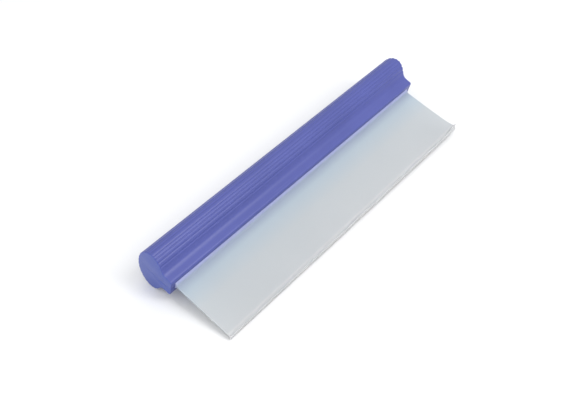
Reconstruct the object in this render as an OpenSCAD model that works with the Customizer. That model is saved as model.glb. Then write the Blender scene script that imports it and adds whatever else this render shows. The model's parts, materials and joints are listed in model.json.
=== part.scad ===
// Water-blade squeegee applicator.
// A ribbed two-shell handle grips a one-piece silicone blade that ends in a double-edged lip.
// The object lies as it rests on a table: belly of the handle and lower lip edge on z = 0.
// +X runs along the handle, the blade reaches toward -Y, the grip is on the +Y side, +Z is up.
// Sections are drawn flat as [u, v]: u runs back from the mouth, v stands square to the blade.

/* [Handle] */
// length of the handle
handle_length = 305; // [150:1:500]
// half height of the rounded grip
grip_half_height = 22.8; // [12:0.1:28]
// distance from the front face to the widest part of the grip
grip_centre = 20.9; // [16:0.1:30]
// reach of the grip behind its widest part
grip_back = 14.3; // [8:0.1:20]
// reach of the grip in front of its widest part
grip_front = 12.2; // [8:0.1:16]
// wall thickness of the shells
wall = 2.4; // [1.6:0.1:3.5]
// thickness of the wall that closes each end
end_wall = 2.8; // [2:0.1:5]

/* [Jaw] */
// half height of the jaw at its front face
jaw_half_height = 9.4; // [5:0.1:12]
// rise of the jaw from its front corner to the neck
jaw_rise = 0.2; // [0:0.1:2]
// rounding of the jaw corners
jaw_round = 1.7; // [0.5:0.1:3]
// length of the flat jaw before the neck curve, upper shell
neck_flat_top = 5.4; // [3:0.1:8]
// length of the flat jaw before the neck curve, lower shell
neck_flat_under = 7.6; // [3:0.1:9]
// where the neck curve meets the grip, as an angle on the grip
neck_angle = 39; // [25:1:50]

/* [Grip ribs] */
// depth of the grooves between the ribs
groove_depth = 0.6; // [0.2:0.05:1]
// half width of one groove, as an angle on the grip
groove_half_angle = 3.5; // [2:0.5:8]
// crown of each rib between two grooves
rib_crown = 0.1; // [0:0.05:0.8]

/* [Parting line] */
// drop of the parting line below the blade plane
part_drop = 1.6; // [0:0.1:3]
// height of the parting line at the front face
part_front = 0.2; // [-1:0.1:1]
// distance behind the front face where the parting line levels out
part_level = 7; // [4:0.5:10]
// gap left between the shells
part_gap = 0.1; // [0.05:0.05:0.3]

/* [Blade] */
// free width of the blade from the front face to the tip
blade_width = 58.6; // [30:0.1:90]
// distance from each handle end to the blade end
blade_inset = 4.6; // [3:0.1:12]
// thickness of the silicone where it leaves the jaw
root_thickness = 8; // [4:0.1:10]
// reach of the thick shoulder in front of the jaw
shoulder_reach = 2.4; // [1.5:0.1:6]
// thickness of the web next to the shoulder
web_thickness = 1.9; // [1:0.1:3]
// thickness of the web next to the lip
web_tip_thickness = 1.2; // [0.6:0.1:2]
// radius of the bead held inside the jaw
bead_radius = 4.2; // [2:0.1:5]
// distance of the bead behind the front face
bead_depth = 10; // [7:0.1:12]
// thickness of the neck that joins the bead to the shoulder
bead_neck = 4; // [2:0.1:5]
// depth of the block that fills the mouth of the jaw
mouth_depth = 3; // [2:0.1:5]

/* [Lip] */
// half height of the double-edged lip
lip_half_height = 3.3; // [2:0.1:5]
// thickness of the lip at the web
lip_thickness = 1.2; // [0.8:0.1:2]
// thickness of the lip at its edges
lip_edge = 0.45; // [0.3:0.05:1]
// depth of the hollow between the two lip edges
lip_hollow = 0.55; // [0:0.05:1.5]
// width of the flare that joins the lip to the web
lip_flare = 0.8; // [0.4:0.1:2]

/* [Flex line] */
// distance of the flex line in front of the front face
flex_reach = 5; // [4:0.1:8]
// clearance around the rounded end of the moving web
flex_gap = 0.3; // [0.3:0.05:0.6]

/* [Screws] */
// number of screws that hold the shells together
screw_count = 5; // [3:1:8]
// spacing of the screws
screw_pitch = 66; // [30:1:80]
// distance of the screws behind the front face
screw_u = 23; // [18:0.5:26]
// shank radius
screw_radius = 1.4; // [1:0.1:2]
// length of the shank
screw_length = 20; // [10:0.5:24]
// head radius
head_radius = 2.9; // [2:0.1:4]
// head height
head_height = 1.9; // [1:0.1:3]
// radius of the screw bosses
boss_radius = 3.9; // [3:0.1:5]
// depth of the head seat below the blade plane
seat_depth = 13; // [8:0.5:17]
// length of the screw's pointed end
point_length = 2; // [1:0.5:4]
// radius at the tip of the point
point_radius = 0.3; // [0.1:0.1:0.6]
// span of the cross recess in the head
recess_span = 3.2; // [2:0.1:4]
// width of each slot of the recess
recess_width = 0.7; // [0.4:0.1:1]
// depth of the recess
recess_depth = 1; // [0.5:0.1:1.4]
// clearance around the shank and the head
screw_clearance = 0.3; // [0.1:0.1:0.6]

/* [Inner webs] */
// number of cross webs in each shell
web_count = 4; // [2:1:8]
// spacing of the cross webs
web_pitch = 66; // [30:1:80]
// thickness of the cross webs
cross_web = 1.6; // [1:0.1:3]
// distance the cross webs stay clear of the tongue
web_setback = 3; // [2:0.5:6]

/* [Tongue] */
// thickness of the locating tongue
tongue_thickness = 0.9; // [0.6:0.1:1.5]
// height of the tongue
tongue_height = 1.4; // [1:0.1:3]
// reach of the tongue into the lower shell
tongue_reach = 1.2; // [0.5:0.1:2]

/* [Finish] */
// colour of the handle
handle_color = [0.40, 0.43, 0.72];
// colour of the silicone
silicone_color = [0.80, 0.84, 0.86];
// colour of the screws
screw_color = [0.72, 0.73, 0.75];
// node to build

/* [Hidden] */
$fn = 48;
eps = 0.01;
fit_gap = 0.1;
blade_length = handle_length - 2 * blade_inset;
grooves = [6, 18.5, 31, 46, 61, 76, 91, 105.5, 120, 134.5];
outline_step = 1.5;
core_step = 3;
jaw_wall = 1.8;
shoulder_hollow = 0.35;
lip_bow = 0.75;
tongue_setback = wall * 0.75;
boss_sink = wall / 2;
seat_wall = 1;
reach = 60;

// Groove and crown pattern of the grip, in millimetres inward (-) or outward (+) at angle t.
function groove_at(t) = max([for (g = grooves) abs(t - g) < groove_half_angle
    ? (1 + cos(180 * (t - g) / groove_half_angle)) / 2 : 0]);
function gap_before(t) = max([for (g = grooves) g <= t ? g : 0]);
function gap_after(t) = min([for (g = grooves) g > t ? g : 180]);
function crown_at(t) = sin(180 * (t - gap_before(t)) / (gap_after(t) - gap_before(t)));
function ribbed(t) = t > grooves[0] && t < grooves[len(grooves) - 1];
function skin_at(t) = (ribbed(t) ? rib_crown * (crown_at(t) - 1) : 0)
    - (groove_depth - rib_crown) * groove_at(t);
function grip_point(t, skin) = [
    grip_centre + (t < 90 ? grip_back + skin : grip_front + skin) * cos(t),
    (grip_half_height + skin) * sin(t)
];

// Half section of the handle from the back (t = 0) over the grip, neck and jaw to the front face.
neck_end = grip_point(180 - neck_angle, 0);
neck_slope = (grip_half_height * cos(neck_angle)) / (grip_front * sin(neck_angle));
jaw_neck = jaw_half_height + jaw_rise;
neck_knee = [neck_end[0] - (neck_end[1] - jaw_neck) / neck_slope, jaw_neck];
function bend(a, b, c, k) = a * (1 - k) * (1 - k) + b * 2 * k * (1 - k) + c * k * k;
function half_section(neck_flat) = concat(
    [for (t = [0 : outline_step : 180 - neck_angle]) grip_point(t, skin_at(t))],
    [for (k = [0.2 : 0.2 : 1]) bend(neck_end, neck_knee, [neck_flat, jaw_neck], k)],
    [for (a = [90 : 15 : 180]) [jaw_round + jaw_round * cos(a),
        jaw_half_height - jaw_round + jaw_round * sin(a)]]
);
function reversed(list) = [for (i = [len(list) - 1 : -1 : 0]) list[i]];
function mirrored(list) = [for (p = list) [p[0], -p[1]]];
top_half = half_section(neck_flat_top);
under_half = half_section(neck_flat_under);
handle_outline = concat(top_half, reversed(mirrored(under_half)));

// Lip section, from its upper edge round the outside to its lower edge and back along the inside.
tip = -blade_width;
lip_root = tip + lip_hollow + lip_thickness;
lip_outline = [
    [tip, lip_half_height],
    [tip + lip_hollow * lip_bow, lip_half_height / 2],
    [tip + lip_hollow, 0],
    [tip + lip_hollow * lip_bow, -lip_half_height / 2],
    [tip, -lip_half_height],
    [tip + lip_edge, -lip_half_height],
    [lip_root, -web_tip_thickness],
    [lip_root + lip_flare, -web_tip_thickness / 2],
    [lip_root + lip_flare, web_tip_thickness / 2],
    [lip_root, web_tip_thickness],
    [tip + lip_edge, lip_half_height]
];

// Resting tilt: the belly and the lower lip edge reach the table together.
function low_point(list, t) = min([for (p = list) p[0] * sin(t) + p[1] * cos(t)]);
function rest_tilt(lo, hi, n) = n == 0 ? (lo + hi) / 2
    : low_point(handle_outline, (lo + hi) / 2) < low_point(lip_outline, (lo + hi) / 2)
    ? rest_tilt((lo + hi) / 2, hi, n - 1) : rest_tilt(lo, (lo + hi) / 2, n - 1);
tilt = rest_tilt(0, 30, 24);
lift = -low_point(handle_outline, tilt);
y_back = max([for (p = handle_outline) p[0] * cos(tilt) - p[1] * sin(tilt)]);
y_tip = min([for (p = lip_outline) p[0] * cos(tilt) - p[1] * sin(tilt)]);
y_shift = -(y_back + y_tip) / 2;
screw_xs = [for (i = [0 : screw_count - 1]) (i - (screw_count - 1) / 2) * screw_pitch];
pilot_top = screw_length - seat_depth + 2 * screw_clearance;
web_xs = [for (i = [0 : web_count - 1]) (i - (web_count - 1) / 2) * web_pitch];

// Place a part drawn in the blade plane in its resting pose.
module resting() {
    translate([0, y_shift, lift])
        rotate([tilt, 0, 0])
            children();
}

// Draw a [u, v] section along X, centred, with the given length.
module along(length) {
    translate([-length / 2, 0, 0])
        rotate([90, 0, 90])
            linear_extrude(height = length)
                children();
}

module handle_section() {
    polygon(handle_outline);
}

// Region above (side = 1) or below (side = -1) the parting line.
module side_of_parting(side) {
    g = side * part_gap / 2;
    polygon([
        [-1, part_front + g],
        [0, part_front + g],
        [part_level, -part_drop + g],
        [reach, -part_drop + g],
        [reach, side * reach],
        [-1, side * reach]
    ]);
}

// Oval of the grip, drawn a given depth under its skin.
module grip_core(depth) {
    polygon([for (t = [0 : core_step : 360 - core_step]) [
        grip_centre + ((t < 90 || t > 270 ? grip_back : grip_front) - depth) * cos(t),
        (grip_half_height - depth) * sin(t)
    ]]);
}

// Hollow of the grip behind the jaw.
module grip_hollow() {
    intersection() {
        grip_core(wall);
        translate([bead_depth + bead_radius + jaw_wall, -reach])
            square([reach, 2 * reach]);
    }
}

// Silicone inside the jaw: bead, neck and mouth block, grown by the given gap.
module root_section(gap) {
    translate([bead_depth, 0])
        circle(r = bead_radius + gap);
    translate([0, -bead_neck / 2 - gap])
        square([bead_depth, bead_neck + 2 * gap]);
    translate([-gap, -root_thickness / 2 - gap])
        square([mouth_depth + 2 * gap, root_thickness + 2 * gap]);
}

// One half shell without its inner details.
module shell_body(side) {
    difference() {
        along(handle_length)
            intersection() {
                handle_section();
                side_of_parting(side);
            }
        along(handle_length - 2 * end_wall)
            grip_hollow();
        along(blade_length + 2 * fit_gap)
            root_section(fit_gap);
    }
}

// Cross webs that stiffen one half shell.
module cross_webs(side) {
    for (x = web_xs)
        translate([x, 0, 0])
            along(cross_web)
                intersection() {
                    grip_hollow();
                    side_of_parting(side);
                    translate([0, -reach])
                        square([grip_centre + grip_back - wall - web_setback, 2 * reach]);
                }
}

// A round post square to the blade plane, between two heights.
module post(x, radius, low, high) {
    translate([x, screw_u, low])
        cylinder(r = radius, h = high - low);
}

// Tongue on the upper shell that locates it in the lower shell.
module tongue(gap) {
    along(handle_length - 4 * end_wall + 2 * gap)
        translate([grip_centre + grip_back - tongue_setback - gap, -part_drop - tongue_reach - gap])
            square([tongue_thickness + 2 * gap, tongue_height + gap]);
}

module upper_shell() {
    color(handle_color)
        resting()
            difference() {
                union() {
                    shell_body(1);
                    cross_webs(1);
                    tongue(0);
                    intersection() {
                        for (x = screw_xs)
                            post(x, boss_radius, -part_drop + part_gap / 2, grip_half_height);
                        along(handle_length)
                            grip_core(boss_sink);
                    }
                }
                for (x = screw_xs)
                    post(x, screw_radius + fit_gap, -part_drop - part_gap, pilot_top);
            }
}

module lower_shell() {
    color(handle_color)
        resting()
            difference() {
                union() {
                    shell_body(-1);
                    cross_webs(-1);
                    intersection() {
                        for (x = screw_xs)
                            post(x, boss_radius + seat_wall, -grip_half_height, -part_drop - part_gap / 2);
                        along(handle_length)
                            grip_core(boss_sink);
                    }
                }
                tongue(fit_gap);
                for (x = screw_xs) {
                    post(x, screw_radius + screw_clearance, -reach, 0);
                    post(x, head_radius + screw_clearance, -reach, -seat_depth);
                }
            }
}

// Self-tapping screw with a cross recess, head down.
module screw(x) {
    shank_top = screw_length - seat_depth - point_length;
    difference() {
        union() {
            post(x, head_radius, -seat_depth - head_height, -seat_depth);
            post(x, screw_radius, -seat_depth - eps, shank_top);
            translate([x, screw_u, shank_top])
                cylinder(r1 = screw_radius, r2 = point_radius, h = point_length);
        }
        for (a = [0, 90])
            translate([x, screw_u, -seat_depth - head_height])
                rotate([0, 0, a])
                    cube([recess_span, recess_width, 2 * recess_depth], center = true);
    }
}

module shell_screws() {
    color(screw_color)
        resting()
            for (x = screw_xs)
                screw(x);
}

// Half thickness of the shoulder at angle a of its hollow curve, 0 at the jaw and 90 at the web.
function shoulder_half(a) = web_thickness / 2
    + (root_thickness - web_thickness) / 2 * (1 - sin(a)) * (1 - shoulder_hollow * sin(2 * a));

// Upper (side = 1) or lower (side = -1) flank of the shoulder.
function shoulder(side) = [for (a = [0 : 10 : 90]) [-shoulder_reach * sin(a), side * shoulder_half(a)]];

module blade_root() {
    color(silicone_color)
        resting()
            difference() {
                along(blade_length) {
                    root_section(0);
                    polygon(concat(
                        shoulder(1),
                        [[-flex_reach, web_thickness / 2], [-flex_reach, -web_thickness / 2]],
                        reversed(shoulder(-1))
                    ));
                }
                along(blade_length + 2)
                    translate([-flex_reach, 0])
                        circle(r = web_thickness / 2 + flex_gap);
            }
}

module blade_web() {
    color(silicone_color)
        resting()
            along(blade_length) {
                translate([-flex_reach, 0])
                    circle(r = web_thickness / 2);
                polygon([
                    [-flex_reach, web_thickness / 2],
                    [lip_root, web_tip_thickness / 2],
                    [lip_root, -web_tip_thickness / 2],
                    [-flex_reach, -web_thickness / 2]
                ]);
                polygon(lip_outline);
            }
}

upper_shell();
lower_shell();
shell_screws();
blade_root();
blade_web();
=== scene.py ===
import json
import math

import bmesh
import bpy
from mathutils import Euler, Matrix, Vector


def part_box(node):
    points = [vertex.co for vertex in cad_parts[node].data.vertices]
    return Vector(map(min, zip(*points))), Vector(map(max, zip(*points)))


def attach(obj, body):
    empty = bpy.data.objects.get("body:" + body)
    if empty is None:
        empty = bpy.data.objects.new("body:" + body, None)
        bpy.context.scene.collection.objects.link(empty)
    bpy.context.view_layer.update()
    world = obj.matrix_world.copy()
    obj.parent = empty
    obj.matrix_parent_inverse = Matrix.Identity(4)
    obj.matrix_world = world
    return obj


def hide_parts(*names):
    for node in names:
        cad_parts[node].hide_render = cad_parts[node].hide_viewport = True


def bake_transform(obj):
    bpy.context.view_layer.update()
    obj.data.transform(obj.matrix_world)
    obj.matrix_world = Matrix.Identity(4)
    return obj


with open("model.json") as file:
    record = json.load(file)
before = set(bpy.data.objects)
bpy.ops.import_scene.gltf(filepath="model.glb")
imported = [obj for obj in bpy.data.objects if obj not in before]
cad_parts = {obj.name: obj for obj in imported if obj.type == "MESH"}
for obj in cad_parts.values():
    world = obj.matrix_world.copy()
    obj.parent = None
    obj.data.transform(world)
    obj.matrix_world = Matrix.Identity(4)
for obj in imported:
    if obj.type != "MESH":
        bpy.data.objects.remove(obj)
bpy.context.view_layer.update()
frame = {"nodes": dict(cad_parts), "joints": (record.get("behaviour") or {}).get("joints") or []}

# ---- Studio ----------------------------------------------------------------------------
# A white table top, a large soft box in front, a smaller one off the near end and a pale
# room around them. The camera looks down along the blade from the near left.

TABLE_SIZE = 6.0
TABLE_WHITE = (0.90, 0.90, 0.90, 1.0)
TABLE_ROUGHNESS = 0.6
ROOM_STRENGTH = 1.03
ROOM_LOW = (0.36, 0.37, 0.39, 1.0)
ROOM_HIGH = (0.98, 0.99, 1.0, 1.0)
ROOM_LOW_END = 0.02
ROOM_HIGH_START = 0.62
FRONT_BOX = {"place": (0.20, -0.70, 0.92), "aim": (-0.16, 0.0, 0.03), "size": (0.40, 0.95), "power": 6.2}
NEAR_BOX = {"place": (-1.10, -0.10, 0.60), "aim": (-0.10, 0.02, 0.02), "size": (0.50, 0.50), "power": 1.7}
CAMERA_PLACE = (-0.35963, -0.29195, 0.50000)
CAMERA_PAN = math.radians(-48.487)
CAMERA_TILT = math.radians(42.69)
CAMERA_ROLL = math.radians(-0.685)
CAMERA_LENS = 49.655
SENSOR_WIDTH = 36.0
CLIP_START = 0.01
CLIP_END = 20.0


def new_material(name):
    """An empty material: itself, its node tree and its surface shader."""
    material = bpy.data.materials.new(name)
    material.use_nodes = True
    return material, material.node_tree, material.node_tree.nodes["Principled BSDF"]


def add_node(tree, kind, **values):
    node = tree.nodes.new(kind)
    for name, value in values.items():
        node.inputs[name].default_value = value
    return node


def one_axis(tree, vector, axis):
    """The X, Y or Z of a vector."""
    axes = add_node(tree, "ShaderNodeSeparateXYZ")
    tree.links.new(vector, axes.inputs["Vector"])
    return axes.outputs[axis]


def ramp_between(tree, source, low, high, colour_low, colour_high):
    """A colour that goes from one to the other while the source goes from low to high."""
    ramp = add_node(tree, "ShaderNodeValToRGB")
    ramp.color_ramp.elements[0].position = low
    ramp.color_ramp.elements[1].position = high
    ramp.color_ramp.elements[0].color = colour_low
    ramp.color_ramp.elements[1].color = colour_high
    tree.links.new(source, ramp.inputs["Fac"])
    return ramp.outputs["Color"]


def soft_box(name, place, aim, size, power):
    bpy.ops.object.light_add(type="AREA", location=place)
    light = bpy.context.object
    light.name = name
    light.data.shape = "RECTANGLE"
    light.data.size = size[0]
    light.data.size_y = size[1]
    light.data.energy = power
    light.rotation_euler = (Vector(aim) - Vector(place)).to_track_quat("-Z", "Y").to_euler()


bpy.ops.object.select_all(action="DESELECT")
bpy.ops.mesh.primitive_plane_add(size=TABLE_SIZE, location=(0, 0, 0))
table = bpy.context.object
table.name = "table_top"
table_white, _, table_shader = new_material("table_white")
table_shader.inputs["Base Color"].default_value = TABLE_WHITE
table_shader.inputs["Roughness"].default_value = TABLE_ROUGHNESS
table.data.materials.append(table_white)

room = bpy.data.worlds.new("studio_room")
room.use_nodes = True
room_tree = room.node_tree
backdrop = room_tree.nodes["Background"]
backdrop.inputs["Strength"].default_value = ROOM_STRENGTH
heading = add_node(room_tree, "ShaderNodeTexCoord")
room_height = one_axis(room_tree, heading.outputs["Generated"], "Z")
walls = ramp_between(room_tree, room_height, ROOM_LOW_END, ROOM_HIGH_START, ROOM_LOW, ROOM_HIGH)
room_tree.links.new(walls, backdrop.inputs["Color"])
bpy.context.scene.world = room

soft_box("front_box", **FRONT_BOX)
soft_box("near_box", **NEAR_BOX)

bpy.ops.object.camera_add(location=CAMERA_PLACE)
camera = bpy.context.object
camera.name = "camera"
turn = Euler((CAMERA_TILT, 0.0, CAMERA_PAN)).to_matrix() @ Matrix.Rotation(CAMERA_ROLL, 3, "Z")
camera.rotation_euler = turn.to_euler()
camera.data.sensor_width = SENSOR_WIDTH
camera.data.lens = CAMERA_LENS
camera.data.clip_start = CLIP_START
camera.data.clip_end = CLIP_END
bpy.context.scene.camera = camera
bpy.context.scene.view_settings.view_transform = "Standard"

# ---- Handle shells ---------------------------------------------------------------------
# Two injection-moulded halves in periwinkle ABS close round the blade bead. The grip is
# ribbed along its length, the end faces are flat, and every moulded edge is slightly eased.

PLASTIC = (0.077, 0.093, 0.342, 1.0)
PLASTIC_DEEP = (0.070, 0.085, 0.316, 1.0)
PLASTIC_RUBBED = (0.20, 0.215, 0.52, 1.0)
# painted light on the flat end faces, not a different plastic
PLASTIC_END_PAINTED_LIGHT = (0.052, 0.086, 0.380, 1.0)
PLASTIC_IOR = 1.5
PLASTIC_GLOSS = (0.37, 0.41)
PIGMENT_SCALE = 22.0
PIGMENT_RANGE = (0.32, 0.68)
RUB_STRETCH = (26.0, 900.0, 900.0)
RUB_RANGE = (0.60, 0.78)
RUB_SHARE = 0.16
GRAIN_SCALE = 1900.0
GRAIN_STRENGTH = 0.35
GRAIN_DEPTH = 0.00004
NOISE_RANGE = (0.3, 0.7)
FULL_RANGE = (0.0, 1.0)
END_DEEP = 0.0006
END_SKIN = 0.00005
BLACK = (0.0, 0.0, 0.0, 1.0)
WHITE = (1.0, 1.0, 1.0, 1.0)

MM = 0.001
NEAR = 0.00002
MERGE_WITHIN = 0.000002
FLAT_WITHIN = math.radians(0.2)
SHARP_ANGLE = math.radians(35)
SHELL_SMOOTH = math.radians(32)
RIM_EASE = 0.0009
RIM_STEPS = 3
RIM_BAND = 0.0016
END_X = frame["nodes"]["upper_shell"].dimensions.x / 2
FLEX = frame["joints"][0]
FLEX_REACH = 5.0
REST_TILT = math.radians(13.915)
PARTING_SHARE = 0.24
PARTING_LEVEL = -1.6
PARTING_FRONT = 0.2
PARTING_BACK = 33.0
ON_PARTING = 0.12
ON_FRONT_FACE = 0.1
SLOPE_END = 7.2
SLOPE_LOW = -1.75
SLOPE_HIGH = 0.35


def noise_at(tree, vector, scale, detail):
    noise = add_node(tree, "ShaderNodeTexNoise", Scale=scale, Detail=detail)
    tree.links.new(vector, noise.inputs["Vector"])
    return noise.outputs["Fac"]


def stretched(tree, vector, scale):
    stretch = add_node(tree, "ShaderNodeMapping", Scale=scale)
    tree.links.new(vector, stretch.inputs["Vector"])
    return stretch.outputs["Vector"]


def range_between(tree, source, source_range, result_range):
    """A number carried over from one range to another."""
    mapped = add_node(tree, "ShaderNodeMapRange")
    mapped.inputs["From Min"].default_value = source_range[0]
    mapped.inputs["From Max"].default_value = source_range[1]
    mapped.inputs["To Min"].default_value = result_range[0]
    mapped.inputs["To Max"].default_value = result_range[1]
    tree.links.new(source, mapped.inputs["Value"])
    return mapped.outputs["Result"]


def laid_over(tree, share, under, colour):
    """A plain colour over another one, by a share that changes from place to place."""
    mix = add_node(tree, "ShaderNodeMix")
    mix.data_type = "RGBA"
    mix.inputs["B"].default_value = colour
    tree.links.new(share, mix.inputs["Factor"])
    tree.links.new(under, mix.inputs["A"])
    return mix.outputs["Result"]


def fine_bump(tree, shader, height, strength, depth):
    bump = add_node(tree, "ShaderNodeBump", Strength=strength, Distance=depth)
    tree.links.new(height, bump.inputs["Height"])
    tree.links.new(bump.outputs["Normal"], shader.inputs["Normal"])


def moulded_plastic():
    material, tree, shader = new_material("moulded_plastic")
    shader.inputs["IOR"].default_value = PLASTIC_IOR
    place = add_node(tree, "ShaderNodeTexCoord").outputs["Object"]

    # slow drift of the pigment along the mould
    cloud = noise_at(tree, place, PIGMENT_SCALE, 4.0)
    pigment = ramp_between(tree, cloud, *PIGMENT_RANGE, PLASTIC_DEEP, PLASTIC)

    # fine rub marks that run with the ribs
    rubs = noise_at(tree, stretched(tree, place, RUB_STRETCH), 1.0, 3.0)
    rub_share = add_node(tree, "ShaderNodeMath")
    rub_share.operation = "MULTIPLY"
    rub_share.inputs[1].default_value = RUB_SHARE
    tree.links.new(ramp_between(tree, rubs, *RUB_RANGE, BLACK, WHITE), rub_share.inputs[0])
    worn = laid_over(tree, rub_share.outputs["Value"], pigment, PLASTIC_RUBBED)

    # painted light: the flat end faces get a brighter, more saturated blue than the ribbed grip, standing
    # in for the light that falls on them
    from_middle = add_node(tree, "ShaderNodeMath")
    from_middle.operation = "ABSOLUTE"
    tree.links.new(one_axis(tree, place, "X"), from_middle.inputs[0])
    end_range = (END_X - END_DEEP, END_X - END_SKIN)
    at_end = range_between(tree, from_middle.outputs["Value"], end_range, FULL_RANGE)
    tree.links.new(laid_over(tree, at_end, worn, PLASTIC_END_PAINTED_LIGHT), shader.inputs["Base Color"])

    # satin mould texture, with gloss that changes a little from place to place
    gloss = range_between(tree, cloud, NOISE_RANGE, PLASTIC_GLOSS)
    tree.links.new(gloss, shader.inputs["Roughness"])
    fine_bump(tree, shader, noise_at(tree, place, GRAIN_SCALE, 2.0), GRAIN_STRENGTH, GRAIN_DEPTH)
    return material


def copy_of_node(name, piece_name):
    """A merged, plainly faced copy of a CAD node, to be finished as its own piece."""
    bpy.ops.object.select_all(action="DESELECT")
    node = frame["nodes"][name]
    piece = bpy.data.objects.new(piece_name, node.data.copy())
    bpy.context.scene.collection.objects.link(piece)
    piece.data.materials.clear()
    piece.select_set(True)
    bpy.context.view_layer.objects.active = piece
    bpy.ops.object.mode_set(mode="EDIT")
    bpy.ops.mesh.select_all(action="SELECT")
    bpy.ops.mesh.remove_doubles(threshold=MERGE_WITHIN)
    bpy.ops.mesh.dissolve_limited(angle_limit=FLAT_WITHIN)
    for side in (-1, 1):
        bpy.ops.mesh.select_all(action="SELECT")
        bpy.ops.mesh.bisect(plane_co=(side * (END_X - RIM_BAND), 0, 0), plane_no=(1, 0, 0))
    bpy.ops.object.mode_set(mode="OBJECT")
    return piece


def weigh_edges(piece, weight_of):
    """Gives each edge a bevel weight from its two ends and the faces beside it."""
    bpy.ops.object.mode_set(mode="EDIT")
    shape = bmesh.from_edit_mesh(piece.data)
    layer = shape.edges.layers.float.new("bevel_weight_edge")
    for edge in shape.edges:
        edge[layer] = weight_of(edge)
    bmesh.update_edit_mesh(piece.data)
    bpy.ops.object.mode_set(mode="OBJECT")


def in_section(place):
    """Section place [u, v] in mm of a point: u behind the jaw's front, v over the blade."""
    y = (place.y - FLEX["pos_m"][1]) / MM
    z = (place.z - FLEX["pos_m"][2]) / MM
    u = y * math.cos(REST_TILT) + z * math.sin(REST_TILT) - FLEX_REACH
    v = z * math.cos(REST_TILT) - y * math.sin(REST_TILT)
    return u, v


def on_parting_rim(u, v):
    """True for points of the outer skin where the two shells meet."""
    at_front = abs(u) < ON_FRONT_FACE and abs(v - PARTING_FRONT) < ON_PARTING
    at_back = u > PARTING_BACK and abs(v - PARTING_LEVEL) < ON_PARTING
    return at_front or at_back


def on_parting_end(u, v):
    """True for points of an end face that lie along the parting line, level or sloping."""
    on_slope = u < SLOPE_END and SLOPE_LOW < v < SLOPE_HIGH
    return abs(v - PARTING_LEVEL) < ON_PARTING or on_slope


def shell_edge_weight(edge):
    """Full ease for the rims of the end faces and a small one along the parting line."""
    if len(edge.link_faces) != 2 or edge.calc_face_angle(0.0) < SHARP_ANGLE:
        return 0.0
    places = [in_section(corner.co) for corner in edge.verts]
    if all(abs(abs(corner.co.x) - END_X) < NEAR for corner in edge.verts):
        return PARTING_SHARE if all(on_parting_end(u, v) for u, v in places) else 1.0
    return PARTING_SHARE if all(on_parting_rim(u, v) for u, v in places) else 0.0


def eased(piece):
    ease = piece.modifiers.new("eased_edges", "BEVEL")
    ease.limit_method = "WEIGHT"
    ease.width = RIM_EASE
    ease.segments = RIM_STEPS
    ease.use_clamp_overlap = True
    bpy.ops.object.modifier_apply(modifier=ease.name)
    bpy.ops.object.shade_smooth_by_angle(angle=SHELL_SMOOTH)


plastic = moulded_plastic()
for node_name in ("upper_shell", "lower_shell"):
    shell = copy_of_node(node_name, node_name + "_moulding")
    weigh_edges(shell, shell_edge_weight)
    eased(shell)
    shell.data.materials.append(plastic)
    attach(shell, "handle")
    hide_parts(node_name)

# ---- Silicone blade --------------------------------------------------------------------
# One moulding of soft clear silicone: a bead and a mouth block held in the jaw, a hollow
# shoulder, a web that thins toward the tip and a lip with an upper and a lower edge.

BLADE_LENGTH = frame["nodes"]["blade_web"].dimensions.x
BLADE_END = BLADE_LENGTH / 2
CUTS_ALONG = 59
BEAD_CENTRE = 10.0
BEAD_RADIUS = 4.2
BEAD_STEPS = 8
NECK_HALF = 2.0
BLOCK_HALF = 4.0
BLOCK_DEPTH = 3.0
SHOULDER_REACH = 2.4
SHOULDER_HOLLOW = 0.35
SHOULDER_LINES = (0.0, 0.12, 0.3, 0.6, 1.0, 1.4, 1.8, 2.2)
WEB_HALF_ROOT = 0.95
WEB_HALF_TIP = 0.60
WEB_START = 3.0
WEB_END = 55.0
WEB_SPACING = 2.5
WEB_LAST_GAP = 1.0
BEND_END = 9.0
BEND_SPACING = 0.5
TIP = 58.6
LIP_HALF = 3.3
LIP_EDGE = 0.45
LIP_HOLLOW = 0.55
LIP_CORNER = 0.15
LIP_FLARE_SHARES = (0.25, 0.45, 0.62, 0.78, 0.90, 1.0)
LIP_EDGE_SHARES = (0.65, 0.25)
LIP_HOLLOW_SHARES = (0.95, 0.75, 0.5, 0.25, 0.0)
TWIST_LINES = (5.0, 18.0, 31.0, 44.0)
TWIST_STEPS = 20
TWIST_ANGLE = math.radians(1.0)
CURL_LINES = (46.0, 49.0, 52.0, 55.0)
CURL_LENGTH = 0.020
CURL_STEPS = 6
CURL_ANGLE = math.radians(3.2)
SILICONE_SMOOTH = math.radians(40)

SILICONE_IOR = 1.41
SCATTER_SHARE = 0.5
SCATTER_RADIUS = (1.0, 1.0, 1.0)
SCATTER_DEPTH = 0.003
CLEAR_SHARE = 0.25
HAZE_SCALE = 14.0
HAZE_LOW = (0.965, 0.97, 0.975, 1.0)
WIPE_STRETCH = (420.0, 30.0, 30.0)
SATIN_GLOSS = (0.36, 0.46)
SKIN_SCALE = 900.0
SKIN_STRENGTH = 0.25
SKIN_DEPTH = 0.00003
# painted light along the blade, by reach from the jaw: painted blue reflection of the handle, painted
# shade near the jaw, paler web, painted brightening on the lip, darker outer edge
PAINTED_LIGHT_TINTS = (
    (0.0, (0.56, 0.59, 0.97, 1.0)),
    (0.014, (0.505, 0.545, 0.81, 1.0)),
    (0.034, (0.42, 0.49, 0.61, 1.0)),
    (0.055, (0.45, 0.52, 0.625, 1.0)),
    (0.17, (0.535, 0.615, 0.675, 1.0)),
    (0.45, (0.600, 0.632, 0.652, 1.0)),
    (0.92, (0.612, 0.632, 0.648, 1.0)),
    (0.95, (0.73, 0.735, 0.74, 1.0)),
    (0.985, (0.74, 0.74, 0.745, 1.0)),
    (1.0, (0.60, 0.60, 0.605, 1.0)),
)


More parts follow.
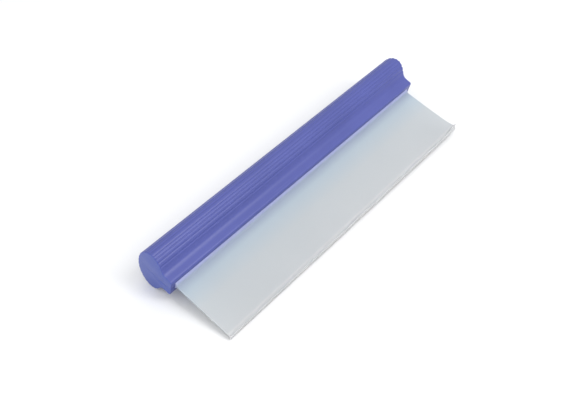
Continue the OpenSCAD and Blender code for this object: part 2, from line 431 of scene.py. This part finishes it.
def at_rest(u, v):
    """Place of a point of the section, u mm behind the jaw's front and v mm over the blade."""
    from_flex = u + FLEX_REACH
    y = FLEX["pos_m"][1] + MM * (from_flex * math.cos(REST_TILT) - v * math.sin(REST_TILT))
    z = FLEX["pos_m"][2] + MM * (from_flex * math.sin(REST_TILT) + v * math.cos(REST_TILT))
    return y, z


def shoulder_half(reach):
    """Half thickness of the hollow shoulder at a reach in front of the jaw."""
    sine = min(reach / SHOULDER_REACH, 1.0)
    double = 2 * sine * math.sqrt(1 - sine * sine)
    return WEB_HALF_ROOT + (BLOCK_HALF - WEB_HALF_ROOT) * (1 - sine) * (1 - SHOULDER_HOLLOW * double)


def web_half(reach):
    """Half thickness of the web at a reach in front of the jaw."""
    return WEB_HALF_ROOT + (WEB_HALF_TIP - WEB_HALF_ROOT) * reach / WEB_END


def held_outline():
    """Upper outline of what the jaw holds, from the back of the bead to the mouth block."""
    neck_angle = math.pi - math.asin(NECK_HALF / BEAD_RADIUS)
    points = []
    for step in range(BEAD_STEPS + 1):
        angle = neck_angle * step / BEAD_STEPS
        points.append((BEAD_CENTRE + BEAD_RADIUS * math.cos(angle), BEAD_RADIUS * math.sin(angle)))
    points.append((BLOCK_DEPTH, NECK_HALF))
    points.append((BLOCK_DEPTH, BLOCK_HALF))
    return points


def web_outline():
    """Upper outline of the shoulder and the web, with close lines where the web bends."""
    points = [(-reach, shoulder_half(reach)) for reach in SHOULDER_LINES]
    reach = WEB_START
    while reach < WEB_END - WEB_LAST_GAP:
        points.append((-reach, web_half(reach)))
        reach += BEND_SPACING if reach < BEND_END else WEB_SPACING
    points.append((-WEB_END, WEB_HALF_TIP))
    return points


def lip_outline():
    """Upper outline of the lip: its flare, its edge and its hollow face down to the middle."""
    flare_reach = TIP - LIP_EDGE - WEB_END
    flare_rise = LIP_HALF - LIP_CORNER - WEB_HALF_TIP
    points = []
    for share in LIP_FLARE_SHARES:
        points.append((-WEB_END - share * flare_reach, WEB_HALF_TIP + share * share * flare_rise))
    for share in LIP_EDGE_SHARES:
        points.append((-TIP + LIP_EDGE * share, LIP_HALF))
    for share in LIP_HOLLOW_SHARES:
        points.append((-TIP + LIP_HOLLOW * (1 - share * share), LIP_HALF * share))
    return points


def draw_section(points, x):
    """Draws a closed flat outline at one end, by extruding one corner to the next."""
    y, z = at_rest(*points[0])
    bpy.ops.mesh.primitive_plane_add(size=MM, location=(x, y, z))
    bpy.ops.object.mode_set(mode="EDIT")
    bpy.ops.mesh.select_mode(type="VERT")
    bpy.ops.mesh.select_all(action="SELECT")
    bpy.ops.mesh.merge(type="CENTER")
    for point in points[1:]:
        next_y, next_z = at_rest(*point)
        bpy.ops.mesh.extrude_vertices_move(
            TRANSFORM_OT_translate={"value": (0.0, next_y - y, next_z - z)})
        y, z = next_y, next_z
    bpy.ops.mesh.select_all(action="SELECT")
    bpy.ops.mesh.edge_face_add()


def select_where(chosen):
    """Selects the corners of the piece in hand for which a test holds."""
    shape = bmesh.from_edit_mesh(bpy.context.object.data)
    for vertex in shape.verts:
        vertex.select = chosen(vertex.co)
    shape.select_flush_mode()
    bmesh.update_edit_mesh(bpy.context.object.data)


def turn_up(lines, start, length, steps, angle):
    """Turns the web up about each line, a little more at each step along the blade."""
    for line in lines:
        pivot_y, pivot_z = at_rest(-line, 0.0)
        for step in range(steps):
            x = start + length * (step + 0.5) / steps
            select_where(lambda place: place.x > x and in_section(place)[0] < -line)
            bpy.ops.transform.rotate(value=angle / steps, orient_axis="X",
                                     center_override=(0.0, pivot_y, pivot_z))


def clear_silicone():
    material, tree, shader = new_material("clear_silicone")
    shader.inputs["IOR"].default_value = SILICONE_IOR
    shader.inputs["Subsurface Weight"].default_value = SCATTER_SHARE
    shader.inputs["Subsurface Radius"].default_value = SCATTER_RADIUS
    shader.inputs["Subsurface Scale"].default_value = SCATTER_DEPTH
    shader.inputs["Transmission Weight"].default_value = CLEAR_SHARE
    place = add_node(tree, "ShaderNodeTexCoord").outputs["Object"]

    # painted light: a painted blue reflection of the handle at the root, painted shade from the handle
    # just past the jaw that fades toward the tip, and a painted brightening along the lip, under a faint
    # random haze
    from_jaw = add_node(tree, "ShaderNodeAttribute")
    from_jaw.attribute_name = "from_jaw"
    painted_light_ramp = add_node(tree, "ShaderNodeValToRGB")
    painted_light_ramp.color_ramp.elements[0].position = PAINTED_LIGHT_TINTS[0][0]
    painted_light_ramp.color_ramp.elements[0].color = PAINTED_LIGHT_TINTS[0][1]
    painted_light_ramp.color_ramp.elements[1].position = PAINTED_LIGHT_TINTS[-1][0]
    painted_light_ramp.color_ramp.elements[1].color = PAINTED_LIGHT_TINTS[-1][1]
    for share, colour in PAINTED_LIGHT_TINTS[1:-1]:
        stop = painted_light_ramp.color_ramp.elements.new(share)
        stop.color = colour
    tree.links.new(from_jaw.outputs["Fac"], painted_light_ramp.inputs["Fac"])
    cloud = noise_at(tree, place, HAZE_SCALE, 3.0)
    haze_on_painted_light = add_node(tree, "ShaderNodeMix")
    haze_on_painted_light.data_type = "RGBA"
    haze_on_painted_light.blend_type = "MULTIPLY"
    haze_on_painted_light.inputs["Factor"].default_value = 1.0
    tree.links.new(painted_light_ramp.outputs["Color"], haze_on_painted_light.inputs["A"])
    tree.links.new(ramp_between(tree, cloud, *NOISE_RANGE, HAZE_LOW, WHITE), haze_on_painted_light.inputs["B"])
    tree.links.new(haze_on_painted_light.outputs["Result"], shader.inputs["Base Color"])

    # satin skin with faint wipe marks across the web
    marks = noise_at(tree, stretched(tree, place, WIPE_STRETCH), 1.0, 3.0)
    satin = range_between(tree, marks, NOISE_RANGE, SATIN_GLOSS)
    tree.links.new(satin, shader.inputs["Roughness"])
    fine_bump(tree, shader, noise_at(tree, place, SKIN_SCALE, 2.0), SKIN_STRENGTH, SKIN_DEPTH)
    return material


bpy.ops.object.select_all(action="DESELECT")
upper = held_outline() + web_outline() + lip_outline()
outline = upper + [(u, -v) for u, v in reversed(upper[1:-1])]
draw_section(outline, -BLADE_END)
blade = bpy.context.object
blade.name = "silicone_blade"
bpy.ops.mesh.extrude_region_move(TRANSFORM_OT_translate={"value": (BLADE_LENGTH, 0.0, 0.0)})
shape = bmesh.from_edit_mesh(blade.data)
for edge in shape.edges:
    edge.select = abs(edge.verts[0].co.x - edge.verts[1].co.x) > BLADE_END
bmesh.update_edit_mesh(blade.data)
bpy.ops.mesh.select_mode(type="EDGE")
bpy.ops.mesh.subdivide(number_cuts=CUTS_ALONG)
bpy.ops.mesh.select_mode(type="VERT")
bpy.ops.mesh.select_all(action="SELECT")
bpy.ops.mesh.normals_make_consistent(inside=False)
bpy.ops.object.mode_set(mode="OBJECT")
bpy.ops.object.transform_apply(location=True, rotation=True, scale=True)
reach_of = blade.data.attributes.new("from_jaw", "FLOAT", "POINT")
for index, vertex in enumerate(blade.data.vertices):
    reach_of.data[index].value = -in_section(vertex.co)[0] / TIP

# the soft web has taken a slight twist that lifts its far end, and the far corner of the
# lip curls up off the table
bpy.ops.object.mode_set(mode="EDIT")
turn_up(TWIST_LINES, -BLADE_END, BLADE_LENGTH, TWIST_STEPS, TWIST_ANGLE)
turn_up(CURL_LINES, BLADE_END - CURL_LENGTH, CURL_LENGTH, CURL_STEPS, CURL_ANGLE)
bpy.ops.object.mode_set(mode="OBJECT")
bpy.ops.object.shade_smooth_by_angle(angle=SILICONE_SMOOTH)
blade.data.materials.append(clear_silicone())
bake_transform(blade)
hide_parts("blade_root", "blade_web")

# ---- Shell screws ----------------------------------------------------------------------
# Five zinc-plated self-tapping screws pull the shells together from the underside. Each has
# a domed pan head with a cross recess, sunk in a round seat, and a threaded shank.

SCREW_COUNT = 5
SCREW_U = 23.0
HEAD_SEAT = 13.0
HEAD_RADIUS = 2.9
HEAD_HEIGHT = 1.9
HEAD_SIDES = 32
HEAD_DOME = 0.55
DOME_STEPS = 4
RECESS_SPAN = 3.2
RECESS_WIDTH = 0.7
RECESS_DEPTH = 1.0
SHANK_LENGTH = 20.0
SHANK_RADIUS = 1.15
THREAD_RADIUS = 1.4
THREAD_PITCH = 1.3
THREAD_TURNS = 13
THREAD_ROOT_SHARE = 0.40
THREAD_FLANK_SHARE = 0.25
THREAD_CREST_SHARE = 0.10
POINT_LENGTH = 2.0
POINT_SHARE = 0.26
SCREW_SMOOTH = math.radians(35)
ZINC = (0.52, 0.53, 0.55, 1.0)
ZINC_DULL = (0.38, 0.39, 0.42, 1.0)
ZINC_GLOSS = (0.28, 0.45)
SPANGLE_SCALE = 600.0
SPANGLE_RANGE = (0.35, 0.65)
SCRATCH_SCALE = 2600.0
SCRATCH_STRENGTH = 0.3
SCRATCH_DEPTH = 0.00003


def zinc_plate():
    material, tree, shader = new_material("zinc_plate")
    shader.inputs["Metallic"].default_value = 1.0
    place = add_node(tree, "ShaderNodeTexCoord").outputs["Object"]
    spangle = noise_at(tree, place, SPANGLE_SCALE, 3.0)
    plate = ramp_between(tree, spangle, *SPANGLE_RANGE, ZINC_DULL, ZINC)
    tree.links.new(plate, shader.inputs["Base Color"])
    gloss = range_between(tree, spangle, FULL_RANGE, ZINC_GLOSS)
    tree.links.new(gloss, shader.inputs["Roughness"])
    scratches = noise_at(tree, place, SCRATCH_SCALE, 2.0)
    fine_bump(tree, shader, scratches, SCRATCH_STRENGTH, SCRATCH_DEPTH)
    return material


def select_level(height):
    """Selects the ring of corners at one height of the screw."""
    select_where(lambda place: abs(place.z - height) < NEAR)


def grow_ring(rise, share):
    """Draws the selected end of the shank out by a rise, in mm, and scales it by a share."""
    bpy.ops.mesh.extrude_region_move(TRANSFORM_OT_translate={"value": (0.0, 0.0, rise * MM)})
    bpy.ops.transform.resize(value=(share, share, 1.0))


def cut_slot(screw, slot_angle):
    """Cuts one arm of the cross recess across the head."""
    bpy.ops.mesh.primitive_cube_add(size=1.0, location=(0, 0, -HEAD_HEIGHT * MM),
                                    rotation=(0, 0, slot_angle))
    cutter = bpy.context.object
    cutter.scale = (RECESS_SPAN * MM, RECESS_WIDTH * MM, 2 * RECESS_DEPTH * MM)
    recess = screw.modifiers.new("recess", "BOOLEAN")
    recess.object = cutter
    recess.operation = "DIFFERENCE"
    bpy.context.view_layer.objects.active = screw
    bpy.ops.object.modifier_apply(modifier=recess.name)
    bpy.data.objects.remove(cutter)


def pan_head_screw(name):
    """One screw, upright at the origin, with the seat of its head at height 0."""
    bpy.ops.object.select_all(action="DESELECT")
    bpy.ops.mesh.primitive_cylinder_add(vertices=HEAD_SIDES, radius=HEAD_RADIUS * MM,
                                        depth=HEAD_HEIGHT * MM,
                                        location=(0, 0, -HEAD_HEIGHT * MM / 2))
    screw = bpy.context.object
    screw.name = name
    bpy.ops.object.transform_apply(location=True, rotation=True, scale=True)
    bpy.ops.object.mode_set(mode="EDIT")
    bpy.ops.mesh.select_mode(type="VERT")
    select_level(-HEAD_HEIGHT * MM)
    bpy.ops.mesh.bevel(offset=HEAD_DOME * MM, segments=DOME_STEPS, affect="EDGES")
    bpy.ops.mesh.select_all(action="DESELECT")
    select_level(0.0)
    bpy.ops.mesh.inset(thickness=(HEAD_RADIUS - SHANK_RADIUS) * MM)
    crest = THREAD_RADIUS / SHANK_RADIUS
    for thread in range(THREAD_TURNS):
        grow_ring(THREAD_PITCH * THREAD_ROOT_SHARE, 1.0)
        grow_ring(THREAD_PITCH * THREAD_FLANK_SHARE, crest)
        grow_ring(THREAD_PITCH * THREAD_CREST_SHARE, 1.0)
        grow_ring(THREAD_PITCH * THREAD_FLANK_SHARE, 1.0 / crest)
    grow_ring(SHANK_LENGTH - POINT_LENGTH - THREAD_TURNS * THREAD_PITCH, 1.0)
    grow_ring(POINT_LENGTH, POINT_SHARE)
    bpy.ops.object.mode_set(mode="OBJECT")
    for slot_angle in (0.0, math.pi / 2):
        cut_slot(screw, slot_angle)
    return screw


first_screw = pan_head_screw("shell_screw_1")
bpy.ops.object.select_all(action="DESELECT")
first_screw.select_set(True)
bpy.context.view_layer.objects.active = first_screw
bpy.ops.object.shade_smooth_by_angle(angle=SCREW_SMOOTH)
first_screw.data.materials.append(zinc_plate())
screws = [first_screw]
for number in range(2, SCREW_COUNT + 1):
    copy = first_screw.copy()
    copy.data = first_screw.data.copy()
    copy.name = f"shell_screw_{number}"
    bpy.context.scene.collection.objects.link(copy)
    screws.append(copy)

screws_low, screws_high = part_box("shell_screws")
first_x = screws_low.x + HEAD_RADIUS * MM
last_x = screws_high.x - HEAD_RADIUS * MM
seat_y, seat_z = at_rest(SCREW_U, -HEAD_SEAT)
for index, screw in enumerate(screws):
    x = first_x + (last_x - first_x) * index / (SCREW_COUNT - 1)
    screw.data.transform(Matrix.Translation((x, seat_y, seat_z)) @ Matrix.Rotation(REST_TILT, 4, "X"))
    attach(screw, "handle")
    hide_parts("shell_screws")
